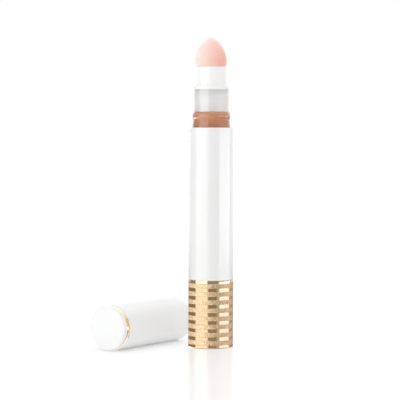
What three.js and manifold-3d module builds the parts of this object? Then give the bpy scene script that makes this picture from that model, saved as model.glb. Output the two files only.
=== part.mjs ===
// A twist-up concealer pen with a cushion tip, its cap taken off and lying beside it.
// Millimetres, +Z up. The origin is the centre of the base's flat underside, and the pen stands
// along +Z. The cap lies along Y, with its closed end towards -Y.

import * as THREE from "three";
import { mergeVertices } from "three/addons/utils/BufferGeometryUtils.js";
import Module from "manifold-3d";

const wasm = await Module();
wasm.setup();

// Fits
const PRESS_GAP = 0.1; // between fixed pieces that nest in each other
const RUNNING_GAP = 0.2; // between pieces that turn or slide on each other

// Facets round the axis
const OUTER_FACETS = 56;
const INNER_FACETS = 32;
const THREAD_FACETS = 16;

// Base knob: a drawn metal cup on a moulded core
const BASE_PROUD = 0.15; // beyond the barrel's outside
const BASE_HEIGHT = 21.4;
const BASE_WALL = 0.5;
const BASE_FLOOR = 0.6;
const BASE_EDGE = 0.9;
const CORE_FLOOR = 1.2;
const SOCKET_DEPTH = 12.8;

// Barrel
const BARREL_RADIUS = 7;
const BARREL_WALL = 0.9;
const BARREL_LENGTH = 48;
const EDGE_BREAK = 0.2; // small chamfer on outer moulded edges

// Ratchet
const RATCHET_HEIGHT = 4;
const RATCHET_WALL = 0.8;
const RATCHET_TOOTH = 0.45;
const RATCHET_TEETH = 16;
const RATCHET_RAMP = 0.9; // share of a tooth's pitch that is the gentle side
const RATCHET_INSET = 0.3; // from the barrel's lower end

// Drive sleeve, with two click pawls
const SLEEVE_RADIUS = 4.1;
const SLEEVE_WALL = 0.9;
const SLEEVE_FLAT = 0.4; // how deep its two lower flats are cut
const SLEEVE_FLANGE = 1;
const SLEEVE_FLANGE_RADIUS = 5.3;
const KEY_LENGTH = 5;
const KEY_WALL = 1.2;
const PAWL_WIDTH = 2.2;
const PAWL_LENGTH = 2.6;
const PAWL_SLOT = 0.35;
const NOSE_HEIGHT = 1.2;

// Screw rod and its nut
const THREAD_RADIUS = 2.2;
const THREAD_DEPTH = 0.45;
const THREAD_PITCH = 2;
const THREAD_CREST = 0.3; // share of the pitch
const THREAD_FLANK = 0.2; // share of the pitch, each side
const ROD_FLAT = 1.5; // from the axis to each flat
const ROD_TIP_RADIUS = 1.5;
const ROD_TIP = 2.4;
const NUT_FLANGE = 3;
const NUT_SPIGOT = 3.3;

// Piston
const PISTON_HEIGHT = 4.2;
const PISTON_LIP = 0.9;
const PISTON_WAIST = 0.4; // how far the waist lies inside the lips
const PISTON_CROWN = 0.5; // rise of the crown's cone
const PISTON_LIFT = 0.3; // above the nut when the pen is full

// Clear reservoir
const RESERVOIR_WALL = 1;
const SHOULDER_HEIGHT = 2.25;
const SHOULDER_TAPER = 0.16;
const GROOVE_HEIGHT = 0.4;
const GROOVE_DEPTH = 0.24;
const BEAD_HEIGHT = 2.15;
const NECK_HEIGHT = 7.1;
const NECK_STEP = 0.45;
const NECK_WALL = 0.95;

// Tip holder, its seal and its feed tube
const FLANGE_STEP = 0.15;
const FLANGE_HEIGHT = 1.2;
const COLLAR_STEP = 0.65; // inside the flange
const COLLAR_HEIGHT = 6.2;
const COLLAR_EDGE = 0.35;
const SPIGOT_GAP = 0.2;
const SEAL_SECTION = 0.5;
const SEAL_HEIGHT = 0.9;
const SEAL_DROP = 1.4; // from the flange down to the seal
const TUBE_RADIUS = 1.2;
const TUBE_BORE = 0.7;

// Sponge tip and the post that carries it
const SPONGE_OVERHANG = 0.45; // beyond the collar
const SPONGE_HEIGHT = 9.1;
const SPONGE_FOOT = 0.1; // beyond the collar, where the dome meets it
const SPONGE_BULGE = 2; // height of the widest place
const SPONGE_POWER = 0.55; // 0.5 is an ellipse, and more is more pointed
const SPONGE_STEPS = 7;
const POST_RADIUS = 1.7;
const POST_BARB = 0.3;
const POST_HEIGHT = 4.2; // above the holder
const POST_FOOT_RADIUS = 2.6;
const POST_FOOT = 1.2;
const POST_SEAT = 2.4; // below the holder's top
const SOFT_GAP = 0.3;

// Cap
const CAP_CLEARANCE = 0.2;
const CAP_WEB = 1.2;
const CAP_RING = 1.5;
const CAP_HEAD = 1.5;
const CAP_EDGE = 0.5;
const CAP_HUB_STEP = 1.4; // from the trim ring's outside to the plug's hub
const CAP_SPIGOT_STEP = 1;
const SNAP_HEIGHT = 0.6;
const LINER_GAP = 0.1;
const LINER_END = 0.8;
const TIP_HEADROOM = 3.2;
const CAP_STANDOFF = 5.65; // between the lying cap and the base
const CAP_MOUTH_Y = 8.15;

// Radii, from the outside in
const baseRadius = BARREL_RADIUS + BASE_PROUD;
const baseBore = baseRadius - BASE_WALL;
const coreRadius = baseBore - PRESS_GAP;
const barrelBore = BARREL_RADIUS - BARREL_WALL;
const insertRadius = barrelBore - PRESS_GAP;
const toothRoot = insertRadius - RATCHET_WALL;
const toothCrest = toothRoot - RATCHET_TOOTH;
const noseRadius = toothCrest - RUNNING_GAP;
const sleeveBore = SLEEVE_RADIUS - SLEEVE_WALL;
const keyRadius = THREAD_RADIUS + RUNNING_GAP;
const reservoirBore = insertRadius - RESERVOIR_WALL;
const pistonRadius = reservoirBore - PRESS_GAP;
const neckRadius = insertRadius - NECK_STEP;
const neckBore = neckRadius - NECK_WALL;
const flangeRadius = neckRadius - FLANGE_STEP;
const collarRadius = flangeRadius - COLLAR_STEP;
const spongeRadius = collarRadius + SPONGE_OVERHANG;
const spongeFoot = collarRadius + SPONGE_FOOT;
const spigotRadius = neckBore - SPIGOT_GAP;
const capRadius = BARREL_RADIUS;
const capBore = insertRadius + CAP_CLEARANCE;
const linerRadius = capBore - PRESS_GAP;
const linerBore = neckRadius + LINER_GAP;

// Heights, from the base up
const coreBottom = BASE_FLOOR + PRESS_GAP;
const coreTop = BASE_HEIGHT - PRESS_GAP;
const rodBottom = coreBottom + CORE_FLOOR + RUNNING_GAP;
const socketBottom = coreTop - SOCKET_DEPTH;
const sleeveBottom = socketBottom + PRESS_GAP;
const barrelBottom = BASE_HEIGHT + RUNNING_GAP;
const barrelTop = barrelBottom + BARREL_LENGTH;
const ratchetBottom = barrelBottom + RATCHET_INSET;
const ratchetTop = ratchetBottom + RATCHET_HEIGHT;
const flangeBottom = ratchetTop + RUNNING_GAP;
const flangeTop = flangeBottom + SLEEVE_FLANGE;
const keyBottom = flangeTop + KEY_WALL;
const sleeveTop = keyBottom + KEY_LENGTH;
const nutBottom = sleeveTop + RUNNING_GAP;
const reservoirBottom = nutBottom + NUT_FLANGE;
const nutTop = reservoirBottom + NUT_SPIGOT;
const pistonBottom = nutTop + PISTON_LIFT;
const pistonTop = pistonBottom + PISTON_HEIGHT;
const shoulderTop = barrelTop + SHOULDER_HEIGHT;
const beadBottom = shoulderTop + GROOVE_HEIGHT;
const beadTop = beadBottom + BEAD_HEIGHT;
const neckTop = beadTop + NECK_HEIGHT;
const holderFlangeTop = neckTop + FLANGE_HEIGHT;
const holderTop = holderFlangeTop + COLLAR_HEIGHT;
const spigotBottom = beadTop + PRESS_GAP;
const sealTop = neckTop - SEAL_DROP;
const sealBottom = sealTop - SEAL_HEIGHT;
const postSeat = holderTop - POST_SEAT;
const tipTop = holderTop + SPONGE_HEIGHT;

// Lengths along the cap, from its mouth
const linerBottom = beadTop - barrelTop + RUNNING_GAP;
const cavityEnd = tipTop - barrelTop + TIP_HEADROOM;
const linerTop = cavityEnd + LINER_END;
const webBottom = linerTop + PRESS_GAP;
const shellTop = webBottom + CAP_WEB;
const ringTop = shellTop + CAP_RING;
const capTop = ringTop + CAP_HEAD;
const snapCentre = (shoulderTop + beadBottom) / 2 - barrelTop;

// Finishes
const whitePlastic = { color: 0xf6f6f5, roughness: 0.22, metalness: 0 };
const naturalPlastic = { color: 0xeeece6, roughness: 0.5, metalness: 0 };
const goldMetal = { color: 0xdcbb86, roughness: 0.3, metalness: 1 };
const clearPlastic = { color: 0xe9ecee, roughness: 0.08, metalness: 0, transparent: true, opacity: 0.35 };
const sealRubber = { color: 0xd9d9d6, roughness: 0.6, metalness: 0 };
const pinkSponge = { color: 0xf6c8b8, roughness: 0.95, metalness: 0 };
const concealerCream = { color: 0xb77c5a, roughness: 0.4, metalness: 0 };

// A solid of revolution about +Z. The points are [radius, height] and run anticlockwise, from the
// axis back to the axis.
function turned(points, facets) {
  const profile = points.map(([radius, height]) => new THREE.Vector2(radius, height));
  return new THREE.LatheGeometry(profile, facets).rotateX(Math.PI / 2);
}

// The same for a profile that stays off the axis and closes on itself.
function turnedRing(points, facets) {
  return turned([...points, points[0]], facets);
}

// A plain round bar.
function bar(radius, bottom, top, facets) {
  return turned([[0, bottom], [radius, bottom], [radius, top], [0, top]], facets);
}

// A plain tube or washer.
function tube(bore, radius, bottom, top, facets) {
  return turnedRing([[bore, bottom], [radius, bottom], [radius, top], [bore, top]], facets);
}

// Points on an arc in the profile plane, both ends included. Angles are in degrees.
function arc(centreRadius, centreHeight, radius, from, to, steps) {
  return Array.from({ length: steps + 1 }, (_, i) => {
    const angle = THREE.MathUtils.degToRad(from + ((to - from) * i) / steps);
    return [centreRadius + radius * Math.cos(angle), centreHeight + radius * Math.sin(angle)];
  });
}

function box(width, depth, bottom, top, x = 0, y = 0) {
  return new THREE.BoxGeometry(width, depth, top - bottom).translate(x, y, (bottom + top) / 2);
}

// Geometry to solid and back, for joins and cuts.
function solid(geometry) {
  const plain = geometry.clone();
  plain.deleteAttribute("normal");
  plain.deleteAttribute("uv");
  const merged = mergeVertices(plain, 1e-4);
  return new wasm.Manifold(
    new wasm.Mesh({
      numProp: 3,
      vertProperties: merged.attributes.position.array,
      triVerts: new Uint32Array(merged.index.array),
    }),
  );
}

function geometryOf(made) {
  const mesh = made.getMesh();
  return new THREE.BufferGeometry()
    .setAttribute("position", new THREE.BufferAttribute(mesh.vertProperties, 3))
    .setIndex(new THREE.BufferAttribute(mesh.triVerts, 1));
}

function piece(name, geometry, finish) {
  geometry.computeVertexNormals();
  const mesh = new THREE.Mesh(geometry, new THREE.MeshStandardMaterial(finish));
  mesh.name = name;
  return mesh;
}

// A right-hand screw thread about +Z, grown by grow on every side, trimmed flat at bottom and top.
// Its rows follow the helix, so the last column meets the first one pitch higher.
function threadSolid(bottom, top, grow) {
  const crest = THREAD_CREST * THREAD_PITCH + grow;
  const flank = THREAD_FLANK * THREAD_PITCH;
  const crestRadius = THREAD_RADIUS + grow;
  const rootRadius = crestRadius - THREAD_DEPTH;
  const profile = [
    [rootRadius, -crest / 2 - flank],
    [crestRadius, -crest / 2],
    [crestRadius, crest / 2],
    [rootRadius, crest / 2 + flank],
  ];
  const first = Math.floor(bottom / THREAD_PITCH) - 2;
  const turns = Math.ceil(top / THREAD_PITCH) + 2 - first;
  const rows = turns * profile.length;
  const positions = [];
  for (let column = 0; column < THREAD_FACETS; column++) {
    const share = column / THREAD_FACETS;
    for (let row = 0; row <= rows; row++) {
      const [radius, offset] = profile[row % profile.length];
      const turn = first + Math.floor(row / profile.length) + share;
      const angle = share * 2 * Math.PI;
      positions.push(radius * Math.cos(angle), radius * Math.sin(angle), turn * THREAD_PITCH + offset);
    }
  }
  const vertex = (column, row) => column * (rows + 1) + row;
  // The vertex one column on, which is one pitch of rows further past the seam.
  const beside = (column, row) =>
    column + 1 < THREAD_FACETS ? vertex(column + 1, row) : vertex(0, row + profile.length);
  const lowCentre = positions.push(0, 0, first * THREAD_PITCH) / 3 - 1;
  const highCentre = positions.push(0, 0, (first + turns + 1) * THREAD_PITCH) / 3 - 1;
  const triangles = [];
  for (let column = 0; column < THREAD_FACETS; column++) {
    const last = column + 1 < THREAD_FACETS ? rows : rows - profile.length;
    for (let row = 0; row < last; row++) {
      const a = vertex(column, row);
      const b = beside(column, row);
      const c = beside(column, row + 1);
      const d = vertex(column, row + 1);
      triangles.push(a, b, c, a, c, d);
    }
    triangles.push(lowCentre, beside(column, 0), vertex(column, 0));
    triangles.push(highCentre, vertex(column, last), beside(column, last));
  }
  for (let row = 0; row < profile.length; row++) {
    triangles.push(lowCentre, vertex(0, row), vertex(0, row + 1));
    const below = vertex(THREAD_FACETS - 1, rows - profile.length + row);
    triangles.push(highCentre, below + 1, below);
  }
  const geometry = new THREE.BufferGeometry()
    .setAttribute("position", new THREE.Float32BufferAttribute(positions, 3))
    .setIndex(triangles);
  return solid(geometry).intersect(solid(bar(2 * crestRadius, bottom, top, INNER_FACETS)));
}

// Base: the metal cup, the core pressed into it and the sleeve keyed into the core.

function baseShell() {
  const points = [
    [0, 0],
    ...arc(baseRadius - BASE_EDGE, BASE_EDGE, BASE_EDGE, -90, 0, 4),
    [baseRadius, BASE_HEIGHT - EDGE_BREAK],
    [baseRadius - EDGE_BREAK, BASE_HEIGHT],
    [baseBore, BASE_HEIGHT],
    [baseBore, BASE_FLOOR + BASE_EDGE],
    [baseBore - BASE_EDGE, BASE_FLOOR],
    [0, BASE_FLOOR],
  ];
  return piece("base_shell", turned(points, OUTER_FACETS), goldMetal);
}

function baseCore() {
  const body = turned(
    [
      [0, coreBottom],
      [coreRadius - BASE_EDGE, coreBottom],
      [coreRadius, coreBottom + BASE_EDGE],
      [coreRadius, coreTop],
      [keyRadius, coreTop],
      [keyRadius, coreBottom + CORE_FLOOR],
      [0, coreBottom + CORE_FLOOR],
    ],
    INNER_FACETS,
  );
  const bore = SLEEVE_RADIUS + PRESS_GAP;
  const above = coreTop + RUNNING_GAP;
  const round = bar(bore, socketBottom, above, INNER_FACETS);
  const flats = box(2 * (SLEEVE_RADIUS - SLEEVE_FLAT + PRESS_GAP), 4 * bore, socketBottom, above);
  const socket = solid(round).intersect(solid(flats));
  return piece("base_core", geometryOf(solid(body).subtract(socket)), naturalPlastic);
}

// The sleeve carries two spring pawls on +Y and -Y, freed by slots, and a bore with two flats that
// turns the screw rod.
function driveSleeve() {
  const body = turnedRing(
    [
      [sleeveBore, sleeveBottom],
      [SLEEVE_RADIUS, sleeveBottom],
      [SLEEVE_RADIUS, flangeBottom],
      [SLEEVE_FLANGE_RADIUS, flangeBottom],
      [SLEEVE_FLANGE_RADIUS, flangeTop],
      [keyRadius + KEY_WALL, flangeTop],
      [keyRadius + KEY_WALL, sleeveTop],
      [keyRadius, sleeveTop],
      [keyRadius, keyBottom],
      [sleeveBore, keyBottom - KEY_WALL],
    ],
    INNER_FACETS,
  );
  const wide = 4 * SLEEVE_RADIUS;
  const lower = box(2 * (SLEEVE_RADIUS - SLEEVE_FLAT), wide, sleeveBottom, coreTop);
  const upper = box(wide, wide, coreTop, sleeveTop);
  let made = solid(body).intersect(solid(lower).add(solid(upper)));

  const plug = bar(keyRadius + PRESS_GAP, keyBottom, sleeveTop, INNER_FACETS);
  const keyway = box(2 * (ROD_FLAT + RUNNING_GAP), 4 * keyRadius, keyBottom, sleeveTop);
  made = made.add(solid(plug).subtract(solid(keyway)));

  const tongueTop = ratchetTop - RUNNING_GAP;
  const tongueBottom = tongueTop - PAWL_LENGTH;
  const root = SLEEVE_RADIUS - SLEEVE_WALL / 2;
  for (const side of [-1, 1]) {
    const nose = new THREE.Shape([
      new THREE.Vector2(-PAWL_WIDTH / 2, root),
      new THREE.Vector2(PAWL_WIDTH / 2, root),
      new THREE.Vector2(PAWL_WIDTH / 4, noseRadius),
      new THREE.Vector2(0, noseRadius),
    ]);
    const bump = new THREE.ExtrudeGeometry(nose, { depth: NOSE_HEIGHT, bevelEnabled: false });
    bump.translate(0, 0, tongueTop - NOSE_HEIGHT);
    if (side < 0) bump.rotateZ(Math.PI);
    made = made.add(solid(bump));
    const y = side * SLEEVE_RADIUS;
    const through = 3 * SLEEVE_WALL;
    const slotTop = tongueTop + PAWL_SLOT;
    const across = PAWL_WIDTH + 2 * PAWL_SLOT;
    for (const edge of [-1, 1]) {
      const x = (edge * (PAWL_WIDTH + PAWL_SLOT)) / 2;
      made = made.subtract(solid(box(PAWL_SLOT, through, tongueBottom, slotTop, x, y)));
    }
    made = made.subtract(solid(box(across, through, tongueTop, slotTop, 0, y)));
  }
  return piece("drive_sleeve", geometryOf(made), naturalPlastic);
}

// Barrel: the sleeve, and the ratchet ring and rod nut fixed inside it.

function barrelSleeve() {
  const points = [
    [barrelBore, barrelBottom],
    [BARREL_RADIUS - EDGE_BREAK, barrelBottom],
    [BARREL_RADIUS, barrelBottom + EDGE_BREAK],
    [BARREL_RADIUS, barrelTop - EDGE_BREAK],
    [BARREL_RADIUS - EDGE_BREAK, barrelTop],
    [barrelBore, barrelTop],
  ];
  return piece("barrel_sleeve", turnedRing(points, OUTER_FACETS), whitePlastic);
}

// Saw teeth inside the ring let the pawls pass one way only.
function ratchetRing() {
  const pitch = (2 * Math.PI) / RATCHET_TEETH;
  const hole = [];
  for (let tooth = 0; tooth < RATCHET_TEETH; tooth++) {
    const start = tooth * pitch;
    const end = start + RATCHET_RAMP * pitch;
    hole.push(new THREE.Vector2(toothRoot * Math.cos(start), toothRoot * Math.sin(start)));
    hole.push(new THREE.Vector2(toothCrest * Math.cos(end), toothCrest * Math.sin(end)));
  }
  const shape = new THREE.Shape();
  shape.absarc(0, 0, insertRadius, 0, 2 * Math.PI);
  shape.holes.push(new THREE.Path(hole));
  const settings = { depth: RATCHET_HEIGHT, bevelEnabled: false, curveSegments: INNER_FACETS };
  const geometry = new THREE.ExtrudeGeometry(shape, settings).translate(0, 0, ratchetBottom);
  return piece("ratchet_ring", geometryOf(solid(geometry)), naturalPlastic);
}

function rodNut() {
  const body = turned(
    [
      [0, nutBottom],
      [insertRadius, nutBottom],
      [insertRadius, reservoirBottom],
      [pistonRadius, reservoirBottom],
      [pistonRadius, nutTop],
      [0, nutTop],
    ],
    INNER_FACETS,
  );
  const bore = threadSolid(nutBottom - RUNNING_GAP, nutTop + RUNNING_GAP, RUNNING_GAP);
  return piece("rod_nut", geometryOf(solid(body).subtract(bore)), naturalPlastic);
}

// Drive: the screw rod with its two flats, and the piston on its round tip.

function screwRod() {
  const tipTopHeight = pistonBottom + ROD_TIP;
  const thread = threadSolid(rodBottom, nutTop, 0);
  const slab = box(2 * ROD_FLAT, 4 * THREAD_RADIUS, rodBottom, nutTop);
  const tip = turned(
    [
      [0, nutTop - ROD_TIP],
      [ROD_TIP_RADIUS - EDGE_BREAK, nutTop - ROD_TIP],
      [ROD_TIP_RADIUS - EDGE_BREAK, nutTop],
      [ROD_TIP_RADIUS, pistonBottom],
      [ROD_TIP_RADIUS, tipTopHeight - EDGE_BREAK],
      [ROD_TIP_RADIUS - EDGE_BREAK, tipTopHeight],
      [0, tipTopHeight],
    ],
    THREAD_FACETS,
  );
  const made = thread.intersect(solid(slab)).add(solid(tip));
  return piece("screw_rod", geometryOf(made), naturalPlastic);
}

function piston() {
  const socketRadius = ROD_TIP_RADIUS + RUNNING_GAP;
  const socketTop = pistonBottom + ROD_TIP + RUNNING_GAP;
  const waist = pistonRadius - PISTON_WAIST;
  const points = [
    [socketRadius, pistonBottom],
    [pistonRadius - EDGE_BREAK, pistonBottom],
    [pistonRadius, pistonBottom + EDGE_BREAK],
    [pistonRadius, pistonBottom + PISTON_LIP],
    [waist, pistonBottom + PISTON_LIP + PISTON_WAIST],
    [waist, pistonTop - PISTON_CROWN - PISTON_LIP - PISTON_WAIST],
    [pistonRadius, pistonTop - PISTON_CROWN - PISTON_LIP],
    [pistonRadius, pistonTop - PISTON_CROWN],
    [0, pistonTop],
    [0, socketTop],
    [socketRadius, socketTop],
  ];
  return piece("piston", turnedRing(points, INNER_FACETS), naturalPlastic);
}

// Bottle: the clear reservoir and the cream that it holds.

function reservoir() {
  const beadEdge = BEAD_HEIGHT / 4;
  const points = [
    [reservoirBore, reservoirBottom],
    [insertRadius, reservoirBottom],
    [insertRadius, barrelTop],
    [insertRadius - SHOULDER_TAPER, shoulderTop - EDGE_BREAK],
    [insertRadius - GROOVE_DEPTH, shoulderTop],
    [insertRadius - GROOVE_DEPTH, beadBottom],
    [insertRadius, beadBottom + beadEdge],
    [insertRadius, beadTop - beadEdge],
    [neckRadius, beadTop],
    [neckRadius, neckTop - EDGE_BREAK],
    [neckRadius - EDGE_BREAK, neckTop],
    [neckBore, neckTop],
    [neckBore, beadTop],
    [reservoirBore, beadTop],
  ];
  return piece("reservoir", turnedRing(points, OUTER_FACETS), clearPlastic);
}

function concealer() {
  const radius = reservoirBore - PRESS_GAP;
  const top = beadTop - PRESS_GAP;
  const points = [
    [0, pistonTop + PRESS_GAP],
    [radius, pistonTop - PISTON_CROWN + PRESS_GAP],
    [radius, top],
    [0, top],
  ];
  return piece("concealer", turned(points, INNER_FACETS), concealerCream);
}

// Applicator: the holder in the neck, its seal, the feed tube, the post and the sponge.

function tipHolder() {
  const channel = TUBE_RADIUS + PRESS_GAP;
  const groove = neckBore - PRESS_GAP - SEAL_SECTION - PRESS_GAP;
  const seat = POST_FOOT_RADIUS + PRESS_GAP;
  const points = [
    [channel, spigotBottom],
    [spigotRadius - EDGE_BREAK, spigotBottom],
    [spigotRadius, spigotBottom + EDGE_BREAK],
    [spigotRadius, sealBottom - PRESS_GAP],
    [groove, sealBottom - PRESS_GAP],
    [groove, sealTop + PRESS_GAP],
    [spigotRadius, sealTop + PRESS_GAP],
    [spigotRadius, neckTop],
    [flangeRadius, neckTop],
    [flangeRadius, holderFlangeTop - EDGE_BREAK],
    [flangeRadius - EDGE_BREAK, holderFlangeTop],
    [collarRadius, holderFlangeTop],
    [collarRadius, holderTop - COLLAR_EDGE],
    [collarRadius - COLLAR_EDGE, holderTop],
    [seat, holderTop],
    [seat, postSeat],
    [channel, postSeat],
  ];
  return piece("tip_holder", turnedRing(points, INNER_FACETS), whitePlastic);
}

function neckSeal() {
  const outside = neckBore - PRESS_GAP;
  const inside = outside - SEAL_SECTION;
  const bevel = SEAL_SECTION / 3;
  const points = [
    [inside, sealBottom + bevel],
    [inside + bevel, sealBottom],
    [outside - bevel, sealBottom],
    [outside, sealBottom + bevel],
    [outside, sealTop - bevel],
    [outside - bevel, sealTop],
    [inside + bevel, sealTop],
    [inside, sealTop - bevel],
  ];
  return piece("neck_seal", turnedRing(points, INNER_FACETS), sealRubber);
}

function feedTube() {
  const geometry = tube(TUBE_BORE, TUBE_RADIUS, spigotBottom, postSeat, THREAD_FACETS);
  return piece("feed_tube", geometry, naturalPlastic);
}

function spongePost() {
  const footTop = postSeat + POST_FOOT;
  const top = holderTop + POST_HEIGHT;
  const barb = POST_RADIUS + POST_BARB;
  const points = [
    [TUBE_BORE, postSeat],
    [POST_FOOT_RADIUS, postSeat],
    [POST_FOOT_RADIUS, footTop],
    [POST_RADIUS, footTop],
    [POST_RADIUS, top - 2 * barb],
    [barb, top - 2 * barb],
    [barb, top - barb],
    [POST_RADIUS - POST_BARB, top],
    [TUBE_BORE, top],
  ];
  return piece("sponge_post", turnedRing(points, THREAD_FACETS), naturalPlastic);
}

// A dome, pulled in at its foot, with a blind hole for the post.
function spongeTip() {
  const hole = POST_RADIUS + POST_BARB + SOFT_GAP;
  const holeTop = holderTop + POST_HEIGHT + SOFT_GAP;
  const rise = SPONGE_HEIGHT - SPONGE_BULGE;
  const dome = Array.from({ length: SPONGE_STEPS }, (_, i) => {
    const share = Math.sin(((i + 1) / (SPONGE_STEPS + 1)) * (Math.PI / 2));
    const radius = spongeRadius * (1 - share * share) ** SPONGE_POWER;
    return [radius, holderTop + SPONGE_BULGE + rise * share];
  });
  const points = [
    [hole, holderTop],
    [spongeFoot, holderTop],
    [(spongeFoot + 2 * spongeRadius) / 3, holderTop + SPONGE_BULGE / 4],
    [spongeRadius, holderTop + SPONGE_BULGE],
    ...dome,
    [0, tipTop],
    [0, holeTop],
    [hole, holeTop],
  ];
  return piece("sponge_tip", turnedRing(points, OUTER_FACETS), pinkSponge);
}

// Cap, along its own +Z from the mouth to the closed end.

function capShell() {
  const snap = insertRadius - PRESS_GAP;
  const spigotHole = capRadius - CAP_HUB_STEP - CAP_SPIGOT_STEP + PRESS_GAP;
  const points = [
    [capBore, 0],
    [capRadius - EDGE_BREAK, 0],
    [capRadius, EDGE_BREAK],
    [capRadius, shellTop],
    [spigotHole, shellTop],
    [spigotHole, webBottom],
    [capBore, webBottom],
    [capBore, snapCentre + SNAP_HEIGHT],
    [snap, snapCentre + SNAP_HEIGHT / 4],
    [snap, snapCentre - SNAP_HEIGHT / 4],
    [capBore, snapCentre - SNAP_HEIGHT],
  ];
  return piece("cap_shell", turnedRing(points, OUTER_FACETS), whitePlastic);
}

function capLiner() {
  const points = [
    [linerBore, linerBottom + EDGE_BREAK],
    [linerBore + EDGE_BREAK, linerBottom],
    [linerRadius, linerBottom],
    [linerRadius, linerTop],
    [0, linerTop],
    [0, cavityEnd],
    [linerBore, cavityEnd],
  ];
  return piece("cap_liner", turnedRing(points, INNER_FACETS), naturalPlastic);
}

function capTrimRing() {
  const bore = capRadius - CAP_HUB_STEP + PRESS_GAP;
  return piece("cap_trim_ring", tube(bore, capRadius, shellTop, ringTop, OUTER_FACETS), goldMetal);
}

function capEndPlug() {
  const hub = capRadius - CAP_HUB_STEP;
  const spigot = hub - CAP_SPIGOT_STEP;
  const points = [
    [0, webBottom + PRESS_GAP],
    [spigot, webBottom + PRESS_GAP],
    [spigot, shellTop],
    [hub, shellTop],
    [hub, ringTop],
    [capRadius, ringTop],
    ...arc(capRadius - CAP_EDGE, capTop - CAP_EDGE, CAP_EDGE, 0, 90, 3),
    [0, capTop],
  ];
  return piece("cap_end_plug", turned(points, OUTER_FACETS), whitePlastic);
}

const cap = new THREE.Group();
cap.add(capShell(), capLiner(), capTrimRing(), capEndPlug());
cap.rotation.x = Math.PI / 2;
cap.position.set(-(baseRadius + CAP_STANDOFF + capRadius), CAP_MOUTH_Y, capRadius);

const pen = new THREE.Group();
pen.add(baseShell(), baseCore(), driveSleeve());
pen.add(barrelSleeve(), ratchetRing(), rodNut());
pen.add(screwRod(), piston());
pen.add(reservoir(), concealer());
pen.add(tipHolder(), neckSeal(), feedTube(), spongePost(), spongeTip());

const part = new THREE.Group();
part.add(pen, cap);

export default part;
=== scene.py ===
# %% [markdown]
# # A twist-up concealer pen and its cap
# The pen stands on a banded gold base, and its pull-off cap lies beside it. The solid model gives
# every piece its place, its size and its motion. Here each piece that shows is made again with
# soft edges and a real finish, in the same frame, so nothing has to be fitted by eye. The pieces
# of the feed inside the barrel stay as the solid model has them.

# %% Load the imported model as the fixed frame
import math

import bmesh
import bpy
from mathutils import Matrix, Quaternion, Vector, noise


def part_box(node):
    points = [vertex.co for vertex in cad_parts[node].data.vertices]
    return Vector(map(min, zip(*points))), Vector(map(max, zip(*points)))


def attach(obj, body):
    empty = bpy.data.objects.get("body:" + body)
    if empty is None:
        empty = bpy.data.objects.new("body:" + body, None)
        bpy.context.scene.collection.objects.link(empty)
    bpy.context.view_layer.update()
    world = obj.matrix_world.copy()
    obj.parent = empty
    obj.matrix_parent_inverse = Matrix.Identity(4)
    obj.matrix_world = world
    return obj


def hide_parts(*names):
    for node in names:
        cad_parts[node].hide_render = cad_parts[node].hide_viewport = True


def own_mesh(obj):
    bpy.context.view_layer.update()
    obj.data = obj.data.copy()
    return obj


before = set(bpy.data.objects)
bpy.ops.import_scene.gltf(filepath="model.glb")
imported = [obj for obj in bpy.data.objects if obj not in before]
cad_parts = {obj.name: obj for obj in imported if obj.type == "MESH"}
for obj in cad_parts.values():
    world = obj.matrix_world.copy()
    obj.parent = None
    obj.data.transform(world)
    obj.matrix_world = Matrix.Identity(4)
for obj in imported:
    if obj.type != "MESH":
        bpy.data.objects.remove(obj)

MM = 0.001  # the frame is in metres, and a pen is easier to read in millimetres
scene = bpy.context.scene
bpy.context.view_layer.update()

# %% [markdown]
# ## The camera
# A long lens keeps the tall pen from leaning, and it stands a little above the middle of the pen,
# so the tops of the rings show as thin ellipses. The numbers come from fitting those ellipses and
# the cap's round end to the picture. A tiny roll levels the pen as the picture has it.

# %% Place the camera
CAMERA_AZIMUTH = math.radians(34.1)  # round the pen, from -Y towards +X
CAMERA_DISTANCE = 552 * MM
CAMERA_HEIGHT = 69.6 * MM
CAMERA_ROLL = math.radians(0.2)
AIM_HEIGHT = 46.62 * MM
AIM_ASIDE = -3.51 * MM  # along the picture's right
FOCAL_PIXELS = 1742.4  # the focal length, counted in the picture's pixels
PICTURE_PIXELS = 400
SENSOR = 36  # mm
NEAR_CLIP = 10 * MM
FAR_CLIP = 20  # m, beyond the table's far edge

towards_camera = Vector((math.sin(CAMERA_AZIMUTH), -math.cos(CAMERA_AZIMUTH), 0))
picture_right = Vector((math.cos(CAMERA_AZIMUTH), math.sin(CAMERA_AZIMUTH), 0))
aim = picture_right * AIM_ASIDE + Vector((0, 0, AIM_HEIGHT))

camera = bpy.data.objects.new("camera", bpy.data.cameras.new("camera"))
scene.collection.objects.link(camera)
camera.data.sensor_width = SENSOR
camera.data.lens = SENSOR * FOCAL_PIXELS / PICTURE_PIXELS
camera.data.clip_start = NEAR_CLIP
camera.data.clip_end = FAR_CLIP
camera.location = towards_camera * CAMERA_DISTANCE + Vector((0, 0, CAMERA_HEIGHT))
camera.rotation_mode = "QUATERNION"
level = (aim - camera.location).to_track_quat("-Z", "Y")
camera.rotation_quaternion = level @ Quaternion((0, 0, 1), CAMERA_ROLL)
scene.camera = camera
print("lens in mm:", round(camera.data.lens, 1))

# %% [markdown]
# ## Sizes from the solid model
# Nearly everything on the pen was turned or moulded round one axis, so a piece is known by its
# radius and its two ends. Reading them from the frame keeps the looks and the solids together:
# when a solid changes, the piece that stands for it follows.

# %% Read the round sizes


def round_size(node):
    """The radius, the bottom and the top of a node on the pen's axis, in mm."""
    low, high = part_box(node)
    return high.x / MM, low.z / MM, high.z / MM


base_radius, base_bottom, base_top = round_size("base_shell")
barrel_radius, barrel_bottom, barrel_top = round_size("barrel_sleeve")
bottle_radius, bottle_bottom, bottle_top = round_size("reservoir")
cushion_radius, cushion_bottom, cushion_top = round_size("sponge_tip")
print("base, barrel and bottle radii in mm:", base_radius, barrel_radius, bottle_radius)

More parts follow.
